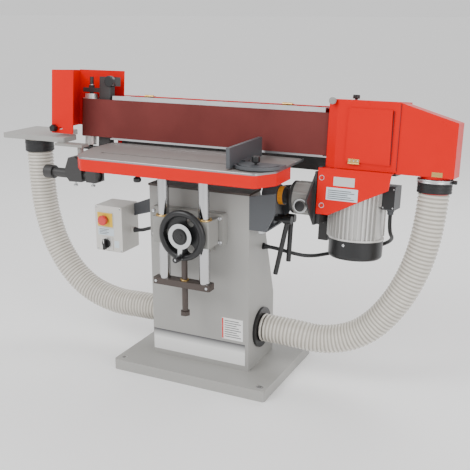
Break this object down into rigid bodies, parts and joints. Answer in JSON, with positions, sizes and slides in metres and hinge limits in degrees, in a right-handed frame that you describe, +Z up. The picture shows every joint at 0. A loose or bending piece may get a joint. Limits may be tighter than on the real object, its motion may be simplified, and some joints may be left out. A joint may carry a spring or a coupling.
{
  "type": "oscillating edge belt sander",
  "caption": "Edge belt sander on a column with a lift table, tilting oscillating belt head, drive motor, end table, switch box and two dust hoses.",
  "frame": {"origin": "centre of the base underside, on the floor", "axes": "+X along the belt towards the drive drum, +Z up, operator at -Y"},
  "size_m": [1.818, 0.538, 1.1168],
  "materials": {
    "red": "satin red enamel",
    "charcoal": "textured dark enamel",
    "grey": "hammered grey enamel",
    "light": "light grey enamel",
    "pale": "pale enamel",
    "top": "grey coat on iron",
    "steel": "ground steel",
    "chrome": "bright plated",
    "zinc": "zinc plated sheet",
    "alloy": "cast alloy, satin",
    "black_plastic": "moulded black",
    "rubber": "soft black",
    "hose": "milky ribbed hose",
    "belt": "abrasive cloth",
    "stop_red": "glossy red"
  },
  "bodies": {
    "frame": {"base_pan": "light", "column": "light", "column_cap": "charcoal", "dust_manifold": "black_plastic", "side_rings": "black_plastic", "lift_housing": "grey", "tilt_bracket": "charcoal", "switch_box": "pale", "right_hose": "hose", "left_hose": "hose", "motor_cable": "rubber", "switch_cable": "rubber"},
    "table": {"table_top": "top", "table_apron": "red", "lift_rods": "chrome", "lift_yoke": "charcoal", "small_table": "light", "support_post": "grey", "arm_clamps": "charcoal", "arm_bar": "charcoal", "left_cuff": "rubber"},
    "wheel": {"handwheel": "black_plastic", "handwheel_shaft": "steel"},
    "crank": {"crank_grip": "black_plastic"},
    "screw": {"lift_spindle": "charcoal"},
    "mitre": {"mitre_gauge": "charcoal"},
    "mitre_lock": {"mitre_knob": "black_plastic"},
    "post_screw": {"post_thumbscrew": "steel"},
    "arm_screw": {"arm_thumbscrew": "steel"},
    "estop": {"estop_button": "stop_red"},
    "selector": {"mode_knob": "black_plastic"},
    "lever_a": {"lock_lever": "black_plastic"},
    "lever_b": {"index_lever": "black_plastic"},
    "cradle": {"tilt_shaft": "charcoal", "gearbox": "grey", "guide_plate": "charcoal"},
    "head": {"carriage_plate": "charcoal", "motor_plate": "charcoal", "motor_skirt": "red", "head_beam": "charcoal", "belt_plate": "zinc", "platen": "zinc", "sanding_belt": "belt", "guard_shell": "red", "hood": "red", "motor_body": "alloy", "fan_cover": "black_plastic", "terminal_box": "black_plastic", "right_cuff": "rubber"},
    "drum": {"drive_drum": "rubber", "motor_shaft": "steel"},
    "idler": {"idler_post": "charcoal"},
    "roller": {"idler_roller": "alloy"},
    "tracking": {"tracking_knob": "black_plastic"},
    "cover": {"rear_cover": "red"},
    "guard_slide": {"guard_panel": "red"},
    "guard_lock": {"guard_knob": "black_plastic"},
    "door": {"hood_door": "red"},
    "top_knob": {"hood_top_knob": "black_plastic"},
    "side_knob": {"hood_side_knob": "steel"}
  },
  "joints": [
    {"name": "table_lift", "type": "slide", "parent": "frame", "child": "table", "axis": [0, 0, 1], "range_m": [-0.06, 0], "deforming": ["left_hose"]},
    {"name": "handwheel_turn", "type": "hinge", "parent": "frame", "child": "wheel", "pos_m": [0.004, -0.247, 0.584], "axis": [0, 1, 0], "range_deg": [-4330, 5]},
    {"name": "crank_spin", "type": "hinge", "parent": "wheel", "child": "crank", "pos_m": [0.004, -0.285, 0.508], "axis": [0, 1, 0], "continuous": true},
    {"name": "spindle_turn", "type": "hinge", "parent": "frame", "child": "screw", "pos_m": [-0.017, -0.198, 0.45], "axis": [0, 0, 1], "range_deg": [-4330, 5]},
    {"name": "mitre_slide", "type": "slide", "parent": "table", "child": "mitre", "axis": [1, 0, 0], "range_m": [-0.54, 0.004]},
    {"name": "mitre_knob_turn", "type": "hinge", "parent": "mitre", "child": "mitre_lock", "pos_m": [0.252, -0.172, 0.86], "axis": [0, 0, 1], "range_deg": [-180, 0]},
    {"name": "post_screw_turn", "type": "hinge", "parent": "table", "child": "post_screw", "pos_m": [-0.588, -0.06, 0.68], "axis": [0, 0, 1], "range_deg": [-180, 0]},
    {"name": "arm_screw_turn", "type": "hinge", "parent": "table", "child": "arm_screw", "pos_m": [-0.503, -0.06, 0.684], "axis": [0, 0, 1], "range_deg": [-180, 0]},
    {"name": "estop_press", "type": "slide", "parent": "frame", "child": "estop", "axis": [0, 1, 0], "range_m": [0, 0.004], "stiffness_N_per_m": 800},
    {"name": "selector_turn", "type": "hinge", "parent": "frame", "child": "selector", "pos_m": [-0.423, -0.104, 0.46], "axis": [0, -1, 0], "range_deg": [-45, 45]},
    {"name": "lock_lever_swing", "type": "hinge", "parent": "frame", "child": "lever_a", "pos_m": [0.3, -0.022, 0.622], "axis": [1, 0, 0], "range_deg": [-30, 0]},
    {"name": "index_lever_swing", "type": "hinge", "parent": "frame", "child": "lever_b", "pos_m": [0.3, 0.012, 0.622], "axis": [1, 0, 0], "range_deg": [0, 30]},
    {"name": "head_tilt", "type": "hinge", "parent": "frame", "child": "cradle", "pos_m": [0.3, 0.02, 0.7], "axis": [-1, 0, 0], "range_deg": [-6, 84], "deforming": ["right_hose", "motor_cable"]},
    {"name": "head_oscillation", "type": "slide", "parent": "cradle", "child": "head", "axis": [0, 0.1045, 0.9945], "range_m": [-0.004, 0.004], "deforming": ["right_hose", "motor_cable"]},
    {"name": "drum_spin", "type": "hinge", "parent": "head", "child": "drum", "pos_m": [0.533, 0.12246, 0.89033], "axis": [0, 0.1045, 0.9945], "continuous": true},
    {"name": "belt_tension", "type": "slide", "parent": "head", "child": "idler", "axis": [1, 0, 0], "range_m": [0, 0.01]},
    {"name": "roller_spin", "type": "hinge", "parent": "idler", "child": "roller", "pos_m": [-0.615, 0.10272, 0.92257], "axis": [0, 0.1045, 0.9945], "continuous": true},
    {"name": "tracking_turn", "type": "hinge", "parent": "idler", "child": "tracking", "pos_m": [-0.502, 0.08218, 1.07154], "axis": [0, -0.9945, 0.1045], "range_deg": [-180, 180]},
    {"name": "rear_cover_hinge", "type": "hinge", "parent": "head", "child": "cover", "pos_m": [-0.048, 0.14955, 1.01418], "axis": [1, 0, 0], "range_deg": [0, 100]},
    {"name": "guard_panel_slide", "type": "slide", "parent": "head", "child": "guard_slide", "axis": [1, 0, 0], "range_m": [-0.032, 0]},
    {"name": "guard_knob_turn", "type": "hinge", "parent": "head", "child": "guard_lock", "pos_m": [-0.7, -0.03855, 0.88916], "axis": [0, -0.9945, 0.1045], "range_deg": [-180, 0]},
    {"name": "hood_door_hinge", "type": "hinge", "parent": "head", "child": "door", "pos_m": [0.529, 0.02974, 0.83573], "axis": [1, 0, 0], "range_deg": [0, 110]},
    {"name": "top_knob_turn", "type": "hinge", "parent": "head", "child": "top_knob", "pos_m": [0.497, 0.1374, 1.05166], "axis": [0, 0.1045, 0.9945], "range_deg": [-180, 0]},
    {"name": "side_knob_turn", "type": "hinge", "parent": "head", "child": "side_knob", "pos_m": [0.44, 0.0492, 1.04484], "axis": [0, -0.9945, 0.1045], "range_deg": [-180, 0]}
  ],
  "couplings": [
    {"joint": "handwheel_turn", "follows": "table_lift", "rad_per_m": 1256.6},
    {"joint": "spindle_turn", "follows": "table_lift", "rad_per_m": 1256.6},
    {"joint": "roller_spin", "follows": "drum_spin", "ratio": 1.6216}
  ]
}
